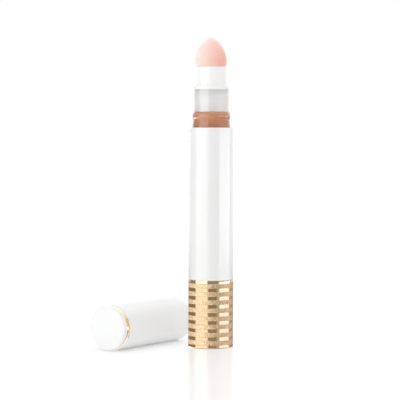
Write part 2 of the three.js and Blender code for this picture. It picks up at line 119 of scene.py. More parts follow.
# %% [markdown]
# ## A lathe
# A turned or moulded round piece is one half section swept round its axis. The section is a chain
# of a few corners. Each corner may carry a fillet, which a vertex bevel rounds before the spin, as
# a mould maker breaks every edge. A chain that starts on the axis stays open, because the spin
# closes it there, and one that stays off the axis is closed into a ring. After the spin the poles
# are merged and the normals are made to face outwards.

# %% Spin a section round the axis
SPIN_STEPS = 144
FILLET_STEPS = 4
MERGE = 1e-7  # m


def spun(corners, steps=SPIN_STEPS):
    """A bmesh turned from (radius, height) or (radius, height, fillet) corners in mm."""
    bm = bmesh.new()
    chain = [bm.verts.new((corner[0] * MM, 0, corner[1] * MM)) for corner in corners]
    following = chain[1:] if corners[0][0] == 0 else chain[1:] + chain[:1]
    for one, other in zip(chain, following):
        bm.edges.new((one, other))
    for vert, corner in zip(chain, corners):
        if len(corner) == 3:
            bmesh.ops.bevel(
                bm, geom=[vert], offset=corner[2] * MM, offset_type="OFFSET",
                segments=FILLET_STEPS, profile=0.5, affect="VERTICES", material=-1,
            )
    bmesh.ops.spin(
        bm, geom=bm.verts[:] + bm.edges[:], cent=(0, 0, 0), axis=(0, 0, 1),
        angle=2 * math.pi, steps=steps, use_merge=True,
    )
    bmesh.ops.remove_doubles(bm, verts=bm.verts[:], dist=MERGE)
    bmesh.ops.recalc_face_normals(bm, faces=bm.faces[:])
    return bm


print("the lathe turns in", SPIN_STEPS, "steps and rounds a corner in", FILLET_STEPS)

# %% [markdown]
# ## From mesh to piece
# Each piece is shaded smooth with its hard edges kept, and weighted normals hold the long walls
# flat up to their fillets. Then it rides on the body that carries it, and stands for its solid.

# %% Make a piece of a bmesh
SHARP = math.radians(40)
LARGE_FACES_LEAD = 100  # the strongest setting of the weighted normals


def finished(name, bm, body, node, slot, *materials):
    """The piece of this name: it rides on a body, and stands for a node, which it hides. The slot is
    not used.
    """
    mesh = bpy.data.meshes.new(name)
    bm.to_mesh(mesh)
    bm.free()
    for material in materials:
        mesh.materials.append(material)
    mesh.shade_smooth()
    mesh.set_sharp_from_angle(angle=SHARP)
    piece = bpy.data.objects.new(name, mesh)
    scene.collection.objects.link(piece)
    even_walls = piece.modifiers.new("even walls", "WEIGHTED_NORMAL")
    even_walls.keep_sharp = True
    even_walls.weight = LARGE_FACES_LEAD
    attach(piece, body)
    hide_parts(node)
    print(name, "stands for", node, "with", len(mesh.polygons), "faces")
    return piece


print("edges sharper than", round(math.degrees(SHARP)), "degrees stay hard")

# %% [markdown]
# ## Colours and nodes
# Colours are written as the hex values seen on a screen, and shaders work in linear light, so one
# function turns the first into the second. One more adds a node with its settings and its links.
# Patterns are sized in millimetres: a texture's scale is how many times its pattern fits in a metre.

# %% Colour and node helpers


def linear(code):
    """A screen's hex colour as linear red, green, blue and a full alpha."""
    shares = [int(code[i:i + 2], 16) / 255 for i in (0, 2, 4)]
    light = [s / 12.92 if s <= 0.04045 else ((s + 0.055) / 1.055) ** 2.4 for s in shares]
    return (*light, 1.0)


def per_mm(size):
    """The scale of a texture whose pattern is this many mm across."""
    return 1 / (size * MM)


def add_node(tree, kind, settings, inputs):
    """A new node with its settings, and with each input linked or set."""
    made = tree.nodes.new(kind)
    for name, value in settings.items():
        setattr(made, name, value)
    for name, value in inputs.items():
        if isinstance(value, bpy.types.NodeSocket):
            tree.links.new(value, made.inputs[name])
        else:
            made.inputs[name].default_value = value
    return made


def new_material(name):
    """A material, its tree, its shader and its Object coordinates."""
    material = bpy.data.materials.new(name)
    material.use_nodes = True
    tree = material.node_tree
    place = add_node(tree, "ShaderNodeTexCoord", {}, {}).outputs["Object"]
    return material, tree, tree.nodes["Principled BSDF"], place


print("a screen's middle grey is", round(linear("808080")[0], 3), "of full light")

# %% [markdown]
# ## White plastics
# Three whites show. The barrel is ABS from a polished mould under a thin clear lacquer, so it is
# bright and mirrors the lamps softly. The cap is ABS from an etched mould, which leaves a satin
# skin. The tip's collar is polypropylene, whiter and bare. Every mould leaves a very slight
# waviness, which only shows where a lamp's edge is mirrored, and no white is quite even, since
# the plastic lets some light in. All three get the same nodes, so one loop makes them.

# %% White plastics
MIX_A, MIX_B, MIX_RESULT = 6, 7, 2  # a Mix node's colour sockets
MOULD_WAVE = 2.4  # mm
MOULD_CLOUD = 9  # mm
MOULD_RELIEF = 0.02  # mm
GLOSS_DRIFT = 0.06  # how much the roughness changes over a pattern
LACQUER_BLUR = 0.12
# Light tint, shaded tint, index of refraction, roughness, lacquer
WHITES = {
    "white_abs_gloss_moulded": ("F6F6F6", "F2F2F1", 1.54, 0.1, 0.4),
    "white_abs_satin_moulded": ("F9F9F9", "F6F6F5", 1.54, 0.3, 0.0),
    "white_polypropylene_moulded": ("FBFBFB", "F7F7F6", 1.49, 0.1, 0.0),
}

whites = []
for name, (light, shade, index, blur, lacquer) in WHITES.items():
    material, tree, shader, place = new_material(name)
    cloud = add_node(tree, "ShaderNodeTexNoise", {}, {
        "Vector": place, "Scale": per_mm(MOULD_CLOUD), "Detail": 2.0, "Roughness": 0.5,
    })
    tint = add_node(tree, "ShaderNodeMix", {"data_type": "RGBA"}, {
        0: cloud.outputs["Fac"], MIX_A: linear(light), MIX_B: linear(shade),
    })
    wave = add_node(tree, "ShaderNodeTexNoise", {}, {
        "Vector": place, "Scale": per_mm(MOULD_WAVE), "Detail": 1.0,
    })
    gloss = add_node(tree, "ShaderNodeMapRange", {}, {
        "Value": wave.outputs["Fac"], "To Min": blur, "To Max": blur + GLOSS_DRIFT,
    })
    relief = add_node(tree, "ShaderNodeBump", {}, {
        "Height": wave.outputs["Fac"], "Strength": 0.05, "Distance": MOULD_RELIEF * MM,
    })
    tree.links.new(tint.outputs[MIX_RESULT], shader.inputs["Base Color"])
    tree.links.new(gloss.outputs["Result"], shader.inputs["Roughness"])
    tree.links.new(relief.outputs["Normal"], shader.inputs["Normal"])
    shader.inputs["IOR"].default_value = index
    shader.inputs["Coat Weight"].default_value = lacquer
    shader.inputs["Coat Roughness"].default_value = LACQUER_BLUR
    whites.append(material)
    print("made", name)
white_gloss, white_satin, white_pp = whites

# %% [markdown]
# ## Gold anodised aluminium, satin
# The base and the cap's ring are drawn aluminium, anodised gold. The base's wide bands were blasted
# with fine beads, which leaves a grain of tiny dimples, so each lamp spreads into a soft glow with
# sparkles in it. The real dimples are about 0.05 mm across. Here they are 0.4 mm, so that they
# show at the picture's size.

# %% Satin gold
BLAST_GRAIN = 0.4  # mm, drawn coarser than the real grain
BLAST_DEPTH = 0.05  # mm

gold_satin, tree, shader, place = new_material("gold_aluminium_blasted")
grain = add_node(tree, "ShaderNodeTexNoise", {}, {
    "Vector": place, "Scale": per_mm(BLAST_GRAIN), "Detail": 2.0, "Roughness": 0.7,
})
spread = add_node(tree, "ShaderNodeMapRange", {}, {
    "Value": grain.outputs["Fac"], "From Min": 0.35, "From Max": 0.65,
})
tint = add_node(tree, "ShaderNodeMix", {"data_type": "RGBA"}, {
    0: spread.outputs["Result"], MIX_A: linear("C69A64"), MIX_B: linear("F8E2BC"),
})
gloss = add_node(tree, "ShaderNodeMapRange", {}, {
    "Value": grain.outputs["Fac"], "To Min": 0.44, "To Max": 0.56,
})
relief = add_node(tree, "ShaderNodeBump", {}, {
    "Height": grain.outputs["Fac"], "Strength": 0.35, "Distance": BLAST_DEPTH * MM,
})
tree.links.new(tint.outputs[MIX_RESULT], shader.inputs["Base Color"])
tree.links.new(gloss.outputs["Result"], shader.inputs["Roughness"])
tree.links.new(relief.outputs["Normal"], shader.inputs["Normal"])
shader.inputs["Metallic"].default_value = 1.0
print("made", gold_satin.name)

# %% [markdown]
# ## Gold anodised aluminium, polished
# The narrow bands were cut bright with a diamond tool and mirror the room: white where a lamp is,
# brown where the room is dark. The tool leaves turning lines about 0.02 mm apart. They are drawn
# 0.16 mm apart here, faintly, so that a close look finds them. The cap's ring is cut in the same
# way, paler and a little less sharp, and its lines run round the lying cap's axis.

# %% Polished gold
TURNING_PITCH = 0.16  # mm, drawn coarser than the real lines
TURNING_DEPTH = 0.01  # mm
WAVE_PERIOD = math.tau / 20  # of a Wave texture at a scale of 1
SMEAR = 3  # mm
# The axis that the tool moved along, deep tint, bright tint, roughness
CUT_GOLDS = {
    "gold_aluminium_diamond_cut": ("Z", "E0C49E", "E8CCA8", 0.06),
    "gold_aluminium_ring_cut": ("Y", "F0DFBE", "F6E8CE", 0.18),
}

cut_golds = []
for name, (axis, deep, bright, blur) in CUT_GOLDS.items():
    material, tree, shader, place = new_material(name)
    lines = add_node(tree, "ShaderNodeTexWave", {"bands_direction": axis, "wave_profile": "SIN"}, {
        "Vector": place, "Scale": per_mm(TURNING_PITCH) * WAVE_PERIOD, "Distortion": 0.4,
    })
    smear = add_node(tree, "ShaderNodeTexNoise", {}, {
        "Vector": place, "Scale": per_mm(SMEAR), "Detail": 2.0,
    })
    tint = add_node(tree, "ShaderNodeMix", {"data_type": "RGBA"}, {
        0: smear.outputs["Fac"], MIX_A: linear(deep), MIX_B: linear(bright),
    })
    gloss = add_node(tree, "ShaderNodeMapRange", {}, {
        "Value": lines.outputs["Fac"], "To Min": blur, "To Max": blur + GLOSS_DRIFT,
    })
    relief = add_node(tree, "ShaderNodeBump", {}, {
        "Height": lines.outputs["Fac"], "Strength": 0.04, "Distance": TURNING_DEPTH * MM,
    })
    tree.links.new(tint.outputs[MIX_RESULT], shader.inputs["Base Color"])
    tree.links.new(gloss.outputs["Result"], shader.inputs["Roughness"])
    tree.links.new(relief.outputs["Normal"], shader.inputs["Normal"])
    shader.inputs["Metallic"].default_value = 1.0
    cut_golds.append(material)
    print("made", name)
gold_polished, gold_ring = cut_golds

# %% [markdown]
# ## Clear polypropylene
# The bottle is moulded in clarified polypropylene, so that the shade of the cream shows. It is
# glassy, and has the faint flow marks that clear mouldings show where light grazes them. Its index
# is near 1.49, but with that much bending the white spigot in the neck looks grey, so the plastic
# is drawn at 1.38, and a clear coat gives its surface the gloss of the real one.

# %% Clear polypropylene
FLOW_MARK = 1.6  # mm across, and longer up the bottle
FLOW_RELIEF = 0.02  # mm
DRAWN_INDEX = 1.38

clear_pp, tree, shader, place = new_material("clear_polypropylene_moulded")
stretch = add_node(tree, "ShaderNodeMapping", {}, {"Vector": place, "Scale": (1, 1, 0.3)})
flow = add_node(tree, "ShaderNodeTexNoise", {}, {
    "Vector": stretch.outputs["Vector"], "Scale": per_mm(FLOW_MARK), "Detail": 1.0,
})
gloss = add_node(tree, "ShaderNodeMapRange", {}, {
    "Value": flow.outputs["Fac"], "To Min": 0.01, "To Max": 0.05,
})
relief = add_node(tree, "ShaderNodeBump", {}, {
    "Height": flow.outputs["Fac"], "Strength": 0.05, "Distance": FLOW_RELIEF * MM,
})
tree.links.new(gloss.outputs["Result"], shader.inputs["Roughness"])
tree.links.new(relief.outputs["Normal"], shader.inputs["Normal"])
shader.inputs["Base Color"].default_value = linear("FFFFFF")
shader.inputs["Transmission Weight"].default_value = 0.97
shader.inputs["IOR"].default_value = DRAWN_INDEX
shader.inputs["Coat Weight"].default_value = 0.8
shader.inputs["Coat Roughness"].default_value = 0.06
print("made", clear_pp.name)

# %% [markdown]
# ## Concealer cream
# The cream is an emulsion of oil, water and pigment in a tan skin shade. It is thick, so it keeps
# faint swirls from filling, and it lies wet against the bottle's wall.

# %% Cream
SWIRL = 2.2  # mm

cream, tree, shader, place = new_material("concealer_cream_tan")
swirl = add_node(tree, "ShaderNodeTexNoise", {}, {
    "Vector": place, "Scale": per_mm(SWIRL), "Detail": 3.0, "Distortion": 1.5,
})
tint = add_node(tree, "ShaderNodeMix", {"data_type": "RGBA"}, {
    0: swirl.outputs["Fac"], MIX_A: linear("CE7C46"), MIX_B: linear("DE9A64"),
})
gloss = add_node(tree, "ShaderNodeMapRange", {}, {
    "Value": swirl.outputs["Fac"], "To Min": 0.3, "To Max": 0.5,
})
tree.links.new(tint.outputs[MIX_RESULT], shader.inputs["Base Color"])
tree.links.new(gloss.outputs["Result"], shader.inputs["Roughness"])
shader.inputs["IOR"].default_value = 1.45
print("made", cream.name)

# %% [markdown]
# ## Pink polyurethane foam
# The cushion is a fine open-cell foam, soft enough to dab with. Its cells are about 0.2 mm across,
# and are drawn about twice as large, with a deeper pink painted in the middle of each cell as
# painted shade in its pit. Light goes a little way in and comes out warmer, so the shaded side glows
# salmon pink instead of going grey. The side of the dome that the left lamp lights, up and to the
# left, is painted nearly white as painted light, and a gradient across the dome fades the pink that
# way.

# %% Foam's cells, with painted shade in the pits and painted light on one side
FOAM_CELL = 0.42  # mm, drawn coarser than the real cells
LIT_SIDE_WAY = Vector((-0.77, -0.52, 0.37))  # the side painted palest as painted light: up and towards the left lamp
LIT_SIDE_SPAN = 2.2  # radii of the dome, from full pink to the palest painted light
lit_side_turn = LIT_SIDE_WAY.rotation_difference(Vector((1, 0, 0))).to_euler()
lit_side_scale = per_mm(LIT_SIDE_SPAN * cushion_radius)
cushion_middle = (cushion_bottom + cushion_top) / 2 * MM

pink_foam, tree, shader, place = new_material("pink_polyurethane_foam")
cells = add_node(tree, "ShaderNodeTexVoronoi", {"feature": "F1"}, {
    "Vector": place, "Scale": per_mm(FOAM_CELL), "Randomness": 1.0,
})
wall = add_node(tree, "ShaderNodeMapRange", {}, {
    "Value": cells.outputs["Distance"], "From Min": 0.05, "From Max": 0.6,
})
# Painted shade: the pink is deeper in the middle of each cell, where the bump sinks the pit.
pink_with_shaded_pits = add_node(tree, "ShaderNodeMix", {"data_type": "RGBA"}, {
    0: wall.outputs["Result"], MIX_A: linear("FA9D8C"), MIX_B: linear("FFB7A5"),
})
# Painted light: across the dome the pink fades to near white on the side that the left lamp lights.
across = add_node(tree, "ShaderNodeMapping", {}, {
    "Vector": place, "Rotation": lit_side_turn, "Scale": [lit_side_scale] * 3,
    "Location": (0.5 - LIT_SIDE_WAY.normalized().z * cushion_middle * lit_side_scale, 0, 0),
})
painted_light_fade = add_node(tree, "ShaderNodeTexGradient", {"gradient_type": "LINEAR"}, {
    "Vector": across.outputs["Vector"],
})
# Painted light: the near-white that the lit side of the dome is painted.
tint = add_node(tree, "ShaderNodeMix", {"data_type": "RGBA"}, {
    0: painted_light_fade.outputs["Fac"], MIX_A: pink_with_shaded_pits.outputs[MIX_RESULT], MIX_B: linear("FCF2EC"),
})
tree.links.new(tint.outputs[MIX_RESULT], shader.inputs["Base Color"])
# The printed span is how far the painted light fades the pink.
print("the painted light fades the pink over", round(LIT_SIDE_SPAN * cushion_radius, 2), "mm")

# %% Foam's surface
CELL_DEPTH = 0.08  # mm
LIGHT_REACH = 1.6  # mm that light goes into the foam

relief = add_node(tree, "ShaderNodeBump", {}, {
    "Height": wall.outputs["Result"], "Strength": 0.3, "Distance": CELL_DEPTH * MM,
})
rough = add_node(tree, "ShaderNodeMapRange", {}, {
    "Value": cells.outputs["Distance"], "To Min": 0.98, "To Max": 0.86,
})
tree.links.new(rough.outputs["Result"], shader.inputs["Roughness"])
tree.links.new(relief.outputs["Normal"], shader.inputs["Normal"])
shader.inputs["Subsurface Weight"].default_value = 0.25
shader.inputs["Subsurface Radius"].default_value = (1.0, 0.45, 0.3)
shader.inputs["Subsurface Scale"].default_value = LIGHT_REACH * MM
shader.inputs["Specular IOR Level"].default_value = 0.15
shader.inputs["Sheen Weight"].default_value = 1.0
shader.inputs["Sheen Roughness"].default_value = 0.4
print("made", pink_foam.name)

# %% [markdown]
# ## Natural acetal and silicone
# The feed's hidden pieces are moulded in acetal with no dye, a hard, slippery, milky plastic with a
# satin surface. The seal in the neck is a soft translucent silicone, paler and duller. Both are
# one cloudy tint with a roughness that follows it, so one loop makes the two.

# %% Acetal and silicone
MILK_GRAIN = 0.8  # mm
# Light tint, shaded tint, smoothest, roughest, index of refraction, noise detail
MILKY = {
    "natural_acetal_moulded": ("F1EFE9", "E4E1D8", 0.35, 0.55, 1.48, 3.0),
    "translucent_silicone": ("FDFDFB", "F8F8F6", 0.45, 0.65, 1.41, 2.0),
}

milky = []
for name, (light, shade, smoothest, roughest, index, detail) in MILKY.items():
    material, tree, shader, place = new_material(name)
    haze = add_node(tree, "ShaderNodeTexNoise", {}, {
        "Vector": place, "Scale": per_mm(MILK_GRAIN), "Detail": detail,
    })
    tint = add_node(tree, "ShaderNodeMix", {"data_type": "RGBA"}, {
        0: haze.outputs["Fac"], MIX_A: linear(light), MIX_B: linear(shade),
    })
    gloss = add_node(tree, "ShaderNodeMapRange", {}, {
        "Value": haze.outputs["Fac"], "To Min": smoothest, "To Max": roughest,
    })
    tree.links.new(tint.outputs[MIX_RESULT], shader.inputs["Base Color"])
    tree.links.new(gloss.outputs["Result"], shader.inputs["Roughness"])
    shader.inputs["IOR"].default_value = index
    milky.append(material)
    print("made", name)
natural_acetal, seal_silicone = milky

# %% [markdown]
# ## The banded base
# The base is a cup of drawn aluminium that the fingers turn. Nine narrow bands are cut bright into
# its blasted wall, a hair deeper than the wide ones. They are part of the section, so the spin makes
# real grooves, and the faces in them get the polished gold. A striped pattern in one material would
# be quicker, but it would lose the grooves' edges, which catch the light.

# %% Draw the cup's section
# From here on the sizes of pieces are in mm
CUP_WALL = 0.5
CUP_FLOOR = 0.6
CUP_EDGE = 0.25
RIM_EDGE = 0.06
EDGE_KEEPER = 0.03  # a ring just above the bottom fillet keeps the mirror above it straight
SEAM = 0.06  # between the base and the barrel, where the solids keep a wider gap
BAND_PERIOD = 2.56
BAND_WIDTH = 1.1
BAND_DEPTH = 0.05
BAND_COUNT = 9
FIRST_BAND_END = 0.92  # from the rim down to the first band's lower edge

band_bottoms = [base_top - FIRST_BAND_END - BAND_PERIOD * i for i in range(BAND_COUNT)]
cut_radius = base_radius - BAND_DEPTH
cup_bore = base_radius - CUP_WALL
cup_floor = base_bottom + CUP_FLOOR
cup_top = barrel_bottom - SEAM
lowest_top = band_bottoms[-1] + BAND_WIDTH

cup = [(0, base_bottom), (cut_radius, base_bottom, CUP_EDGE)]
cup += [(cut_radius, base_bottom + CUP_EDGE + EDGE_KEEPER)]
cup += [(cut_radius, lowest_top), (base_radius, lowest_top + BAND_DEPTH)]
for bottom in reversed(band_bottoms[1:-1]):
    top = bottom + BAND_WIDTH
    cup += [(base_radius, bottom - BAND_DEPTH), (cut_radius, bottom)]
    cup += [(cut_radius, top), (base_radius, top + BAND_DEPTH)]
cup += [(base_radius, band_bottoms[0] - BAND_DEPTH), (cut_radius, band_bottoms[0])]
cup += [(cut_radius, cup_top, RIM_EDGE), (cup_bore, cup_top, RIM_EDGE)]
cup += [(cup_bore, cup_floor, CUP_EDGE), (0, cup_floor)]
print("the cup's section has", len(cup), "corners")

# %% Turn the cup and polish its bands
bm = spun(cup)
for face in bm.faces:
    middle = face.calc_center_median() / MM
    outside = math.hypot(middle.x, middle.y) > base_radius - CUP_WALL / 2
    in_band = any(bottom < middle.z < bottom + BAND_WIDTH for bottom in band_bottoms)
    at_rim = middle.z > band_bottoms[0]
    face.material_index = int(outside and (in_band or at_rim))
finished("banded_cup", bm, "base", "base_shell", "gold_aluminium", gold_satin, gold_polished)

# %% [markdown]
# ## The barrel
# The barrel is a plain white tube with softened ends. Its thickness shows at the top, round the
# clear bottle. A cylinder with a bevel would do as well, but the lathe gives both walls at once.

# %% Barrel
BARREL_WALL = 0.9
barrel_bore = barrel_radius - BARREL_WALL

finished("barrel", spun([
    (barrel_bore, barrel_bottom, 0.1), (barrel_radius, barrel_bottom, 0.08),
    (barrel_radius, barrel_top, 0.25), (barrel_bore, barrel_top, 0.12),
]), "barrel", "barrel_sleeve", "white_plastic", white_gloss)

# %% [markdown]
# ## The clear bottle
# Above the barrel the bottle shows a shoulder that tapers in, a groove and a bead that the cap snaps
# over, and a thinner neck that takes the tip. Inside, the bore narrows at the neck. One closed
# section gives the plastic its real thickness, which is what bends the light as clear plastic does.

# %% Bottle
BOTTLE_WALL = 1.0
SHOULDER = 2.25
SHOULDER_TAPER = 0.16
SHOULDER_SLOPE = 0.2  # height of the slope from the shoulder into the groove
GROOVE = 0.4
GROOVE_DEPTH = 0.24
BEAD = 2.15
BEAD_EDGE = BEAD / 4
NECK_STEP = 0.45
NECK_WALL = 0.95

bottle_bore = bottle_radius - BOTTLE_WALL
groove_radius = bottle_radius - GROOVE_DEPTH
neck_radius = bottle_radius - NECK_STEP
neck_bore = neck_radius - NECK_WALL
shoulder_top = barrel_top + SHOULDER
bead_bottom = shoulder_top + GROOVE
bead_top = bead_bottom + BEAD

finished("clear_bottle", spun([
    (bottle_bore, bottle_bottom), (bottle_radius, bottle_bottom, 0.2),
    (bottle_radius, barrel_top),
    (bottle_radius - SHOULDER_TAPER, shoulder_top - SHOULDER_SLOPE, 0.1),
    (groove_radius, shoulder_top, 0.08), (groove_radius, bead_bottom, 0.12),
    (bottle_radius, bead_bottom + BEAD_EDGE, 0.3), (bottle_radius, bead_top - BEAD_EDGE, 0.3),
    (neck_radius, bead_top, 0.15), (neck_radius, bottle_top, 0.08),
    (neck_bore, bottle_top, 0.12), (neck_bore, bead_top, 0.1), (bottle_bore, bead_top, 0.15),
]), "barrel", "reservoir", "clear_plastic", clear_pp)

# %% [markdown]
# ## The cream
# The cream fills the bottle from the piston to the tip. It wets the wall, so its side lies a hair
# inside the plastic and no air shows between them, and the bottle then looks full to its edge. As the
# piston rises the cream gets shorter, and its top stays where it is. A plain cylinder would be
# simpler, but the cone in the cream's foot has to fit the piston's crown.

# %% Cream fill
WETTING = 0.02
FILL_LIFT = 0.08  # the cream's top above its solid's
PISTON_CROWN = 0.5  # rise of the cone on the piston's top

cream_bottom, cream_top = round_size("concealer")[1:]
wet_radius = bottle_bore + WETTING
fill_top = cream_top + FILL_LIFT

fill = finished("cream_fill", spun([
    (0, cream_bottom + PISTON_CROWN), (wet_radius, cream_bottom, 0.1),
    (wet_radius, fill_top, 0.15), (0, fill_top),
]), "barrel", "concealer", "concealer_cream", cream)
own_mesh(fill)

# %% [markdown]
# ## The tip's collar and its seal
# A white collar is pressed into the neck. Its flange sits on the rim. Its spigot is tight in the
# neck, with no air between, so it fills the clear wall with white. A ring of silicone in the
# spigot's groove keeps the cream in. The groove and the seat for the post could be cut with
# booleans, but in the section each is just a few more corners, and the mesh stays clean.

# %% Collar
FLANGE = 1.2
COLLAR_STEP = 0.65
CHANNEL = 1.3
SEAT = 2.7
SEAT_DEPTH = 2.4
SEAL_SECTION = 0.5
SEAL_GAP = 0.02  # between the seal and its groove

flange_radius, spigot_bottom, collar_top = round_size("tip_holder")
seal_radius, seal_bottom, seal_top = round_size("neck_seal")
seal_bore = seal_radius - SEAL_SECTION
seal_groove = seal_bore - SEAL_GAP
spigot_radius = neck_bore + WETTING
collar_radius = flange_radius - COLLAR_STEP
flange_top = bottle_top + FLANGE
seat_floor = collar_top - SEAT_DEPTH

finished("tip_collar", spun([
    (CHANNEL, spigot_bottom), (spigot_radius, spigot_bottom, 0.2),
    (spigot_radius, seal_bottom - SEAL_GAP), (seal_groove, seal_bottom - SEAL_GAP),
    (seal_groove, seal_top + SEAL_GAP), (spigot_radius, seal_top + SEAL_GAP),
    (spigot_radius, bottle_top), (flange_radius, bottle_top, 0.1),
    (flange_radius, flange_top, 0.25), (collar_radius, flange_top, 0.15),
    (collar_radius, collar_top, 0.4), (SEAT, collar_top, 0.1),
    (SEAT, seat_floor), (CHANNEL, seat_floor),
]), "barrel", "tip_holder", "white_plastic", white_pp)

# %% Seal
finished("seal_ring", spun([
    (seal_bore, seal_bottom, 0.2), (spigot_radius, seal_bottom, 0.03),
    (spigot_radius, seal_top, 0.03), (seal_bore, seal_top, 0.2),
]), "barrel", "neck_seal", "seal_rubber", seal_silicone)

# %% [markdown]
# ## The cushion tip
# The cushion is a dome of foam, pulled in at its foot and a little pointed, over a barbed post. It
# is spun finely enough to carry cells in the mesh itself: every point outside sinks a little where
# a foam cell opens, and a broader noise keeps the dome from looking machined. Being soft, it also
# leans a little. The noise is fixed, so each run gives the same foam. A cloth simulation would suit
# a sewn cushion, but this one is moulded and has no seams.

# %% Turn the dome
FOOT_TUCK = 0.35  # from the widest place in to the foot
FOOT_STEPS = 8
BULGE = 2.0  # height of the widest place
DOME_POWER = 0.68  # 0.5 is an ellipse, and more is more pointed
DOME_SLACK = 0.2  # how far the soft foam stays inside its solid
DOME_STEPS = 96
CUSHION_STEPS = 300
POST_HOLE = 2.3
HOLE_DEPTH = 4.5

rise = cushion_top - cushion_bottom - BULGE
dome_radius = cushion_radius - DOME_SLACK
foot_radius = dome_radius - FOOT_TUCK
hole_top = cushion_bottom + HOLE_DEPTH
dome = [(0, hole_top), (POST_HOLE, hole_top)]
dome += [(POST_HOLE, cushion_bottom), (foot_radius, cushion_bottom, 0.12)]
for i in range(1, FOOT_STEPS + 1):
    share = math.sin(i / FOOT_STEPS * math.pi / 2)
    dome.append((foot_radius + FOOT_TUCK * share, cushion_bottom + BULGE * i / FOOT_STEPS))
for i in range(1, DOME_STEPS):
    share = math.sin(i / DOME_STEPS * math.pi / 2)
    radius = dome_radius * (1 - share * share) ** DOME_POWER
    dome.append((radius, cushion_bottom + BULGE + rise * share))
dome.append((0, cushion_top))

foam = spun(dome, CUSHION_STEPS)
foam.normal_update()
print("the dome has", len(foam.verts), "points")

# %% Open the foam's cells
PIT_DEPTH = 0.07
PIT_REACH = 0.55  # how far from a cell's middle its pit goes, in cells
LUMP_SIZE = 3.0
LUMP_DEPTH = 0.1
LEAN = 0.25  # to the picture's left
LEAN_RISE = 3.5  # height at which the lean is full
HOLE_MARGIN = 0.1
FOOT_MARGIN = 0.05

moves = []
for vert in foam.verts:
    spot = vert.co / MM
    by_post = math.hypot(spot.x, spot.y) < POST_HOLE + HOLE_MARGIN
    in_hole = by_post and spot.z < hole_top + HOLE_MARGIN
    if in_hole or spot.z < cushion_bottom + FOOT_MARGIN:
        continue
    cell = noise.voronoi(spot / FOAM_CELL)[0][0]
    pit = max(0.0, 1 - cell / PIT_REACH)
    lump = noise.noise(spot / LUMP_SIZE)
    sunk = LUMP_DEPTH / 2 * (1 - lump) + pit * PIT_DEPTH
    lean = LEAN * min(1, (spot.z - cushion_bottom) / LEAN_RISE)
    moves.append((vert, (-vert.normal * sunk - picture_right * lean) * MM))
for vert, move in moves:
    vert.co += move
print("moved", len(moves), "points of the foam")
cushion = finished("cushion_tip", foam, "barrel", "sponge_tip", "pink_sponge", pink_foam)

# %% [markdown]
# ## The cap
# The cap is four pieces: a white tube with a snap rib inside its mouth, a liner that the neck slides
# into, a gold ring that shows as a thin line near the closed end, and a white plug that closes it.
# They are turned along +Z from the mouth, then laid down along the table as the solids lie.

# %% Where the cap lies
cap_low, cap_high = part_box("cap_shell")
cap_mouth = cap_high.y
cap_axis = Vector(((cap_low.x + cap_high.x) / 2, cap_mouth, (cap_low.z + cap_high.z) / 2))


def lying_size(node):
    """The radius of a node of the cap, and how far its two ends are from the mouth, in mm."""
    low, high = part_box(node)
    return (high.x - low.x) / 2 / MM, (cap_mouth - high.y) / MM, (cap_mouth - low.y) / MM


def lay_down(bm):
    """Turns a piece made along +Z from the cap's mouth to where the cap lies, closed end to -Y."""
    bmesh.ops.rotate(bm, verts=bm.verts[:], matrix=Matrix.Rotation(math.pi / 2, 3, "X"))
    bmesh.ops.translate(bm, verts=bm.verts[:], vec=cap_axis)
    return bm


tube_radius, tube_mouth, tube_end = lying_size("cap_shell")
liner_radius, liner_bottom, liner_top = lying_size("cap_liner")
ring_radius, ring_bottom, ring_top = lying_size("cap_trim_ring")
plug_radius, plug_bottom, plug_top = lying_size("cap_end_plug")
print("the cap's tube is", round(tube_end - tube_mouth, 2), "mm long")

# %% Cap tube
CAP_WALL = 0.8
CAP_WEB = 1.2  # the tube's closed end
SNAP = 0.3
SNAP_HEIGHT = 0.6
HUB_STEP = 1.4
PLUG_SPIGOT_STEP = 1.0
PLUG_GAP = 0.1

cap_bore = tube_radius - CAP_WALL
hub_radius = plug_radius - HUB_STEP
plug_spigot = hub_radius - PLUG_SPIGOT_STEP
plug_hole = plug_spigot + PLUG_GAP
web_bottom = tube_end - CAP_WEB
snap_middle = (shoulder_top + bead_bottom) / 2 - barrel_top
snap_radius = cap_bore - SNAP

finished("cap_tube", lay_down(spun([
    (cap_bore, tube_mouth, 0.15), (tube_radius, tube_mouth, 0.25), (tube_radius, tube_end, 0.12),
    (plug_hole, tube_end), (plug_hole, web_bottom), (cap_bore, web_bottom),
    (cap_bore, snap_middle + SNAP_HEIGHT), (snap_radius, snap_middle + SNAP_HEIGHT / 4, 0.1),
    (snap_radius, snap_middle - SNAP_HEIGHT / 4, 0.1), (cap_bore, snap_middle - SNAP_HEIGHT),
])), "cap", "cap_shell", "white_plastic", white_satin)

# %% Cap liner
LINER_END = 0.8
LINER_GAP = 0.1

liner_bore = neck_radius + LINER_GAP
liner_floor = liner_top - LINER_END

finished("cap_lining", lay_down(spun([
    (0, liner_floor), (liner_bore, liner_floor, 0.4), (liner_bore, liner_bottom, 0.2),
    (liner_radius, liner_bottom), (liner_radius, liner_top), (0, liner_top),
])), "cap", "cap_liner", "natural_plastic", natural_acetal)

# %% Cap ring
ring_bore = hub_radius + PLUG_GAP

finished("cap_ring", lay_down(spun([
    (ring_bore, ring_bottom), (ring_radius, ring_bottom, 0.12),
    (ring_radius, ring_top, 0.12), (ring_bore, ring_top),
])), "cap", "cap_trim_ring", "gold_aluminium", gold_ring)

# %% Cap end
finished("cap_end", lay_down(spun([
    (0, plug_bottom), (plug_spigot, plug_bottom, 0.2), (plug_spigot, tube_end),
    (hub_radius, tube_end), (hub_radius, ring_top), (plug_radius, ring_top, 0.12),
    (plug_radius, plug_top, 0.5), (0, plug_top),
])), "cap", "cap_end_plug", "white_plastic", white_satin)

